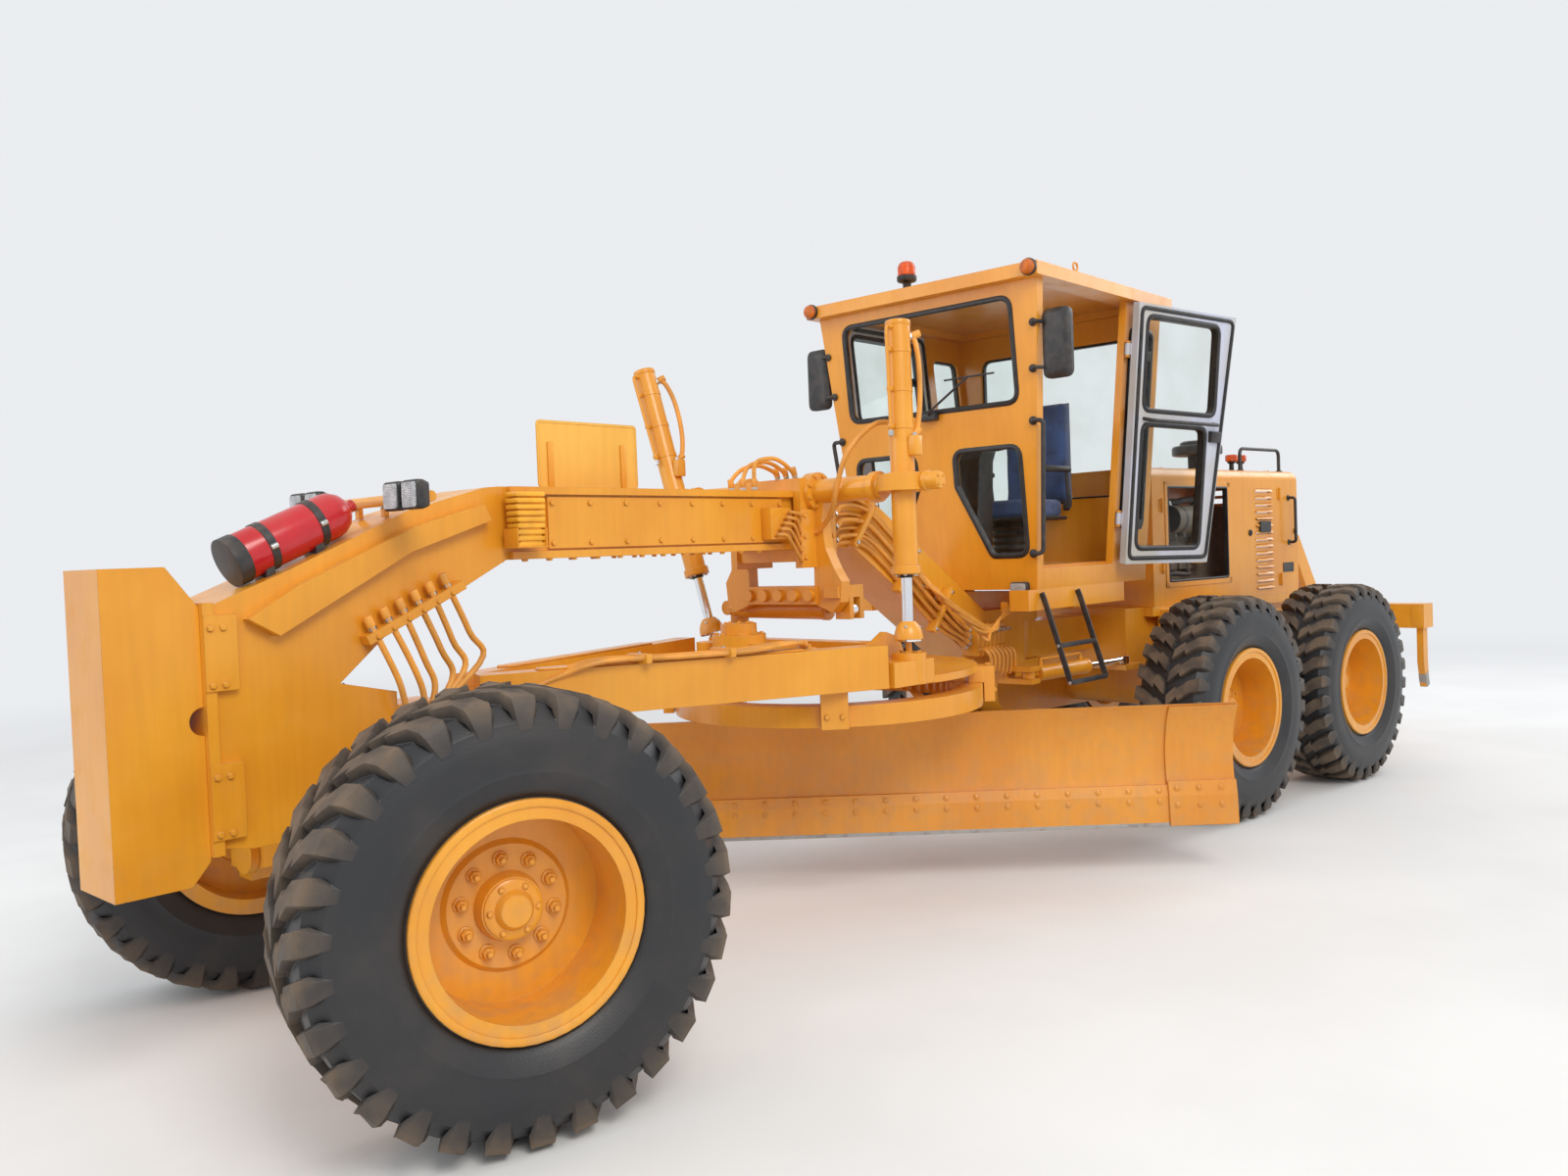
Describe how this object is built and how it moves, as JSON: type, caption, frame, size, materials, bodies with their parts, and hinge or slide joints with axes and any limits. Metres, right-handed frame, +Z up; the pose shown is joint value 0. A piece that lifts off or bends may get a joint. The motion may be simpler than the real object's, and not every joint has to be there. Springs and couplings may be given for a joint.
{
  "type": "motor grader",
  "caption": "Articulated motor grader with a leaning front axle, a turning circle and blade, an enclosed cab, a rear ripper and a front push block.",
  "frame": {"origin": "on the ground under the middle of the whole machine as it is parked", "axes": "+X forward along the front frame, +Y to the machine's left, +Z up"},
  "size_m": [9.5193, 3.0603, 3.4476],
  "materials": {
    "yellow_paint": "semi_gloss",
    "orange_paint": "semi_gloss",
    "grey_paint": "semi_gloss",
    "black_paint": "satin",
    "red_paint": "gloss",
    "tyre_rubber": "matt",
    "hose_rubber": "matt",
    "chrome_rod": "polished",
    "worn_steel": "worn",
    "engine_iron": "matt",
    "window_glass": "clear",
    "amber_lens": "gloss",
    "seat_cloth": "matt"
  },
  "bodies": {
    "front_frame": {"main_frame": "yellow_paint", "push_block": "yellow_paint", "front_axle": "yellow_paint", "lift_saddle": "yellow_paint", "extinguisher": "red_paint", "beam_fittings": "black_paint", "hydraulic_lines": "hose_rubber", "cab_base": "yellow_paint", "cab_front": "orange_paint", "cab_rear": "orange_paint", "cab_roof": "orange_paint", "cab_glass": "window_glass", "cab_interior": "seat_cloth", "cab_trim": "black_paint", "cab_lamps": "amber_lens", "ladder_rails": "black_paint"},
    "lean_left": {"lean_left": "yellow_paint"},
    "lean_right": {"lean_right": "yellow_paint"},
    "knuckle_left": {"knuckle_left": "yellow_paint"},
    "knuckle_right": {"knuckle_right": "yellow_paint"},
    "lean_bar": {"lean_bar": "yellow_paint"},
    "tie_rod_ball": {"tie_rod_ball": "worn_steel"},
    "tie_rod": {"tie_rod": "yellow_paint"},
    "wheel_front_left": {"tyre_front_left": "tyre_rubber", "rim_front_left": "yellow_paint"},
    "wheel_front_right": {"tyre_front_right": "tyre_rubber", "rim_front_right": "yellow_paint"},
    "wheel_mid_left": {"tyre_mid_left": "tyre_rubber", "rim_mid_left": "yellow_paint"},
    "wheel_mid_right": {"tyre_mid_right": "tyre_rubber", "rim_mid_right": "yellow_paint"},
    "wheel_rear_left": {"tyre_rear_left": "tyre_rubber", "rim_rear_left": "yellow_paint"},
    "wheel_rear_right": {"tyre_rear_right": "tyre_rubber", "rim_rear_right": "yellow_paint"},
    "drawbar": {"drawbar": "yellow_paint"},
    "turn_circle": {"turn_circle": "yellow_paint"},
    "blade_carrier": {"blade_carrier": "yellow_paint"},
    "moldboard": {"moldboard": "yellow_paint"},
    "lift_barrel_left": {"lift_barrel_left": "yellow_paint"},
    "lift_rod_left": {"lift_rod_left": "chrome_rod"},
    "artic_barrel_left": {"artic_barrel_left": "yellow_paint"},
    "artic_rod_left": {"artic_rod_left": "chrome_rod"},
    "lift_barrel_right": {"lift_barrel_right": "yellow_paint"},
    "lift_rod_right": {"lift_rod_right": "chrome_rod"},
    "artic_barrel_right": {"artic_barrel_right": "yellow_paint"},
    "artic_rod_right": {"artic_rod_right": "chrome_rod"},
    "centre_barrel": {"centre_barrel": "yellow_paint"},
    "centre_rod": {"centre_rod": "chrome_rod"},
    "rear_frame": {"rear_frame": "yellow_paint", "tandems": "yellow_paint", "hood": "orange_paint", "hood_trim": "black_paint", "engine": "engine_iron"},
    "ripper": {"ripper": "yellow_paint"},
    "ripper_barrel": {"ripper_barrel": "yellow_paint"},
    "ripper_rod": {"ripper_rod": "chrome_rod"},
    "door_left": {"door_left": "grey_paint"},
    "door_right": {"door_right": "grey_paint"}
  },
  "joints": [
    {"name": "lean_left", "type": "hinge", "parent": "front_frame", "child": "lean_left", "pos_m": [3.909, 0.4805, 0.61], "axis": [1, 0, 0], "range_deg": [-18, 18]},
    {"name": "steering_left", "type": "hinge", "parent": "lean_left", "child": "knuckle_left", "pos_m": [3.909, 0.6505, 0], "axis": [0, 0, 1], "range_deg": [-34, 66]},
    {"name": "spin_front_left", "type": "hinge", "parent": "knuckle_left", "child": "wheel_front_left", "pos_m": [3.96826, 0.85717, 0.665], "axis": [0.2756, 0.9613, 0], "continuous": true},
    {"name": "lean_right", "type": "hinge", "parent": "front_frame", "child": "lean_right", "pos_m": [3.909, -0.7795, 0.61], "axis": [1, 0, 0], "range_deg": [-18, 18]},
    {"name": "steering_right", "type": "hinge", "parent": "lean_right", "child": "knuckle_right", "pos_m": [3.909, -0.9495, 0], "axis": [0, 0, 1], "range_deg": [-34, 66]},
    {"name": "spin_front_right", "type": "hinge", "parent": "knuckle_right", "child": "wheel_front_right", "pos_m": [3.84974, -1.15617, 0.665], "axis": [0.2756, 0.9613, 0], "continuous": true},
    {"name": "lean_bar", "type": "hinge", "parent": "lean_left", "child": "lean_bar", "pos_m": [4.059, 0.4805, 0.76], "axis": [1, 0, 0], "range_deg": [-18.5, 18.5]},
    {"name": "tie_rod_turn", "type": "hinge", "parent": "knuckle_left", "child": "tie_rod_ball", "pos_m": [3.69752, 0.71114, 0.775], "axis": [0, 0, 1], "range_deg": [-67, 35]},
    {"name": "tie_rod_tilt", "type": "hinge", "parent": "tie_rod_ball", "child": "tie_rod", "pos_m": [3.69752, 0.71114, 0.775], "axis": [1, 0, 0], "range_deg": [-20, 20]},
    {"name": "articulation", "type": "hinge", "parent": "front_frame", "child": "rear_frame", "pos_m": [-0.591, -0.1495, 0.9], "axis": [0, 0, 1], "range_deg": [-13.5, 26.5]},
    {"name": "spin_mid_left", "type": "hinge", "parent": "rear_frame", "child": "wheel_mid_left", "pos_m": [-1.12888, 0.93335, 0.665], "axis": [0.1132, 0.9936, 0], "continuous": true},
    {"name": "spin_mid_right", "type": "hinge", "parent": "rear_frame", "child": "wheel_mid_right", "pos_m": [-1.35868, -1.0836, 0.665], "axis": [0.1132, 0.9936, 0], "continuous": true},
    {"name": "spin_rear_left", "type": "hinge", "parent": "rear_frame", "child": "wheel_rear_left", "pos_m": [-2.64109, 1.10564, 0.665], "axis": [0.1132, 0.9936, 0], "continuous": true},
    {"name": "spin_rear_right", "type": "hinge", "parent": "rear_frame", "child": "wheel_rear_right", "pos_m": [-2.87089, -0.91131, 0.665], "axis": [0.1132, 0.9936, 0], "continuous": true},
    {"name": "artic_swing_left", "type": "hinge", "parent": "front_frame", "child": "artic_barrel_left", "pos_m": [-0.041, 0.2505, 0.93], "axis": [0, 0, 1], "range_deg": [-6.78, 13.31]},
    {"name": "artic_stroke_left", "type": "slide", "parent": "artic_barrel_left", "child": "artic_rod_left", "axis": [-0.9965, 0.084, 0], "range_m": [-0.09933, 0.19498]},
    {"name": "artic_swing_right", "type": "hinge", "parent": "front_frame", "child": "artic_barrel_right", "pos_m": [-0.041, -0.5495, 0.93], "axis": [0, 0, 1], "range_deg": [-6.78, 13.31]},
    {"name": "artic_stroke_right", "type": "slide", "parent": "artic_barrel_right", "child": "artic_rod_right", "axis": [-0.9996, 0.0276, 0], "range_m": [-0.19498, 0.09933]},
    {"name": "drawbar_lift", "type": "hinge", "parent": "front_frame", "child": "drawbar", "pos_m": [3.619, -0.1495, 1.1], "axis": [0.0541, 0.9985, 0], "range_deg": [-21, 4.5]},
    {"name": "circle_turn", "type": "hinge", "parent": "drawbar", "child": "turn_circle", "pos_m": [1.41223, -0.02999, 0.95], "axis": [0, 0, 1], "continuous": true},
    {"name": "blade_tip", "type": "hinge", "parent": "turn_circle", "child": "blade_carrier", "pos_m": [1.26221, -0.16225, 0.42], "axis": [-0.6613, 0.7501, 0], "range_deg": [-5, 40]},
    {"name": "blade_shift", "type": "slide", "parent": "blade_carrier", "child": "moldboard", "axis": [-0.6613, 0.7501, 0], "range_m": [-0.69, 0.31]},
    {"name": "lift_swing_left", "type": "hinge", "parent": "front_frame", "child": "lift_barrel_left", "pos_m": [1.579, 0.6005, 1.985], "axis": [0.9972, 0.0482, 0.0572], "range_deg": [-1.49, 0.32]},
    {"name": "lift_stroke_left", "type": "slide", "parent": "lift_barrel_left", "child": "lift_rod_left", "axis": [0.0553, 0.0413, -0.9976], "range_m": [-0.16229, 0.75738]},
    {"name": "lift_swing_right", "type": "hinge", "parent": "front_frame", "child": "lift_barrel_right", "pos_m": [1.579, -0.8995, 1.985], "axis": [0.9327, 0.3567, 0.0526], "range_deg": [-9.41, 2.02]},
    {"name": "lift_stroke_right", "type": "slide", "parent": "lift_barrel_right", "child": "lift_rod_right", "axis": [-0.0453, 0.2606, -0.9644], "range_m": [-0.15862, 0.74025]},
    {"name": "centre_swing", "type": "hinge", "parent": "front_frame", "child": "centre_rod", "pos_m": [1.479, 0.1805, 1.4], "axis": [1, 0, 0.0054], "range_deg": [-9.74, 45.45]},
    {"name": "centre_stroke", "type": "slide", "parent": "centre_rod", "child": "centre_barrel", "axis": [0, -1, 0.0061], "range_m": [-0.05125, 0.23915]},
    {"name": "ripper_swing", "type": "hinge", "parent": "rear_frame", "child": "ripper", "pos_m": [-3.83004, 0.21954, 0.9], "axis": [0.1132, 0.9936, 0], "range_deg": [-40, 5]},
    {"name": "ripper_cylinder", "type": "hinge", "parent": "rear_frame", "child": "ripper_barrel", "pos_m": [-3.7903, 0.21501, 1.17], "axis": [0.1132, 0.9936, 0], "range_deg": [-47.05, 5.88]},
    {"name": "ripper_stroke", "type": "slide", "parent": "ripper_barrel", "child": "ripper_rod", "axis": [-0.641, 0.073, 0.764], "range_m": [-0.02194, 0.1755]},
    {"name": "door_left", "type": "hinge", "parent": "front_frame", "child": "door_left", "pos_m": [-0.691, 0.4725, 1.43], "axis": [0, 0.09, 0.9959], "range_deg": [-168, 0]},
    {"name": "door_right", "type": "hinge", "parent": "front_frame", "child": "door_right", "pos_m": [-0.691, -0.7715, 1.43], "axis": [0, -0.09, 0.9959], "range_deg": [-168, 0]}
  ],
  "couplings": [
    {"joint": "lean_right", "follows": "lean_left", "ratio": 1},
    {"joint": "steering_right", "follows": "steering_left", "ratio": 1},
    {"joint": "lean_bar", "follows": "lean_left", "ratio": -1},
    {"joint": "tie_rod_turn", "follows": "steering_left", "ratio": -1},
    {"joint": "tie_rod_tilt", "follows": "lean_left", "ratio": -0.78909},
    {"joint": "artic_swing_left", "follows": "articulation", "ratio": 0.49225},
    {"joint": "artic_stroke_left", "follows": "articulation", "m_per_rad": 0.4133},
    {"joint": "artic_swing_right", "follows": "articulation", "ratio": 0.49226},
    {"joint": "artic_stroke_right", "follows": "articulation", "m_per_rad": -0.4133},
    {"joint": "lift_swing_left", "follows": "drawbar_lift", "ratio": 0.069736},
    {"joint": "lift_stroke_left", "follows": "drawbar_lift", "m_per_rad": -2.0259},
    {"joint": "lift_swing_right", "follows": "drawbar_lift", "ratio": 0.43949},
    {"joint": "lift_stroke_right", "follows": "drawbar_lift", "m_per_rad": -1.9801},
    {"joint": "centre_swing", "follows": "drawbar_lift", "ratio": -2.1219},
    {"joint": "centre_stroke", "follows": "drawbar_lift", "m_per_rad": -0.63968},
    {"joint": "ripper_cylinder", "follows": "ripper_swing", "ratio": 1.1532},
    {"joint": "ripper_stroke", "follows": "ripper_swing", "m_per_rad": -0.24646}
  ]
}
